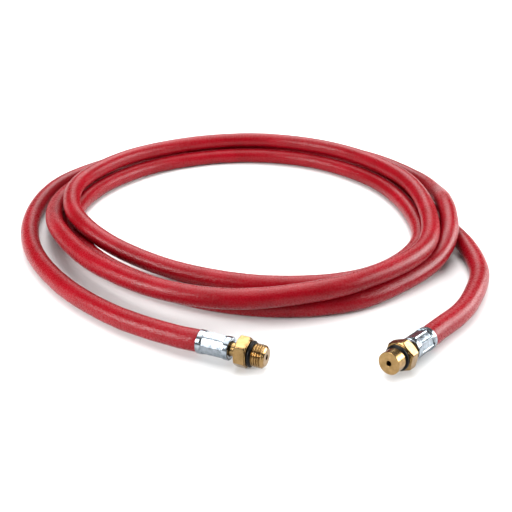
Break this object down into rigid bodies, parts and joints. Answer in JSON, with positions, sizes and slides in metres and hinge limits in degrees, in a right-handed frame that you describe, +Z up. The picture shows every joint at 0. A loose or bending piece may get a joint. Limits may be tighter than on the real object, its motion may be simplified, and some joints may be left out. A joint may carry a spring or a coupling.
{
  "type": "refrigerant charging hose",
  "caption": "Rubber refrigerant charging hose lying in loose turns, with crimped brass fittings: a threaded nose on one end and a plain round nose on the other, sealed by O-rings.",
  "frame": {"origin": "on the floor, under the middle of the whole part's box", "axes": "+Z up, the hose lying on its floor; both fittings lie at the -Y side with their noses turned towards each other, the threaded one at the smaller X"},
  "size_m": [0.3534, 0.3958, 0.0277],
  "materials": {
    "hose_rubber": "satin",
    "ferrule_steel": "bright zinc plating",
    "fitting_brass": "turned, bright",
    "seal_rubber": "satin"
  },
  "bodies": {
    "root": {"hose": "hose_rubber", "threaded_end_ferrule": "ferrule_steel", "threaded_end_fitting": "fitting_brass", "threaded_end_o_ring": "seal_rubber", "plain_end_ferrule": "ferrule_steel", "plain_end_fitting": "fitting_brass", "plain_end_o_ring": "seal_rubber"}
  },
  "joints": []
}
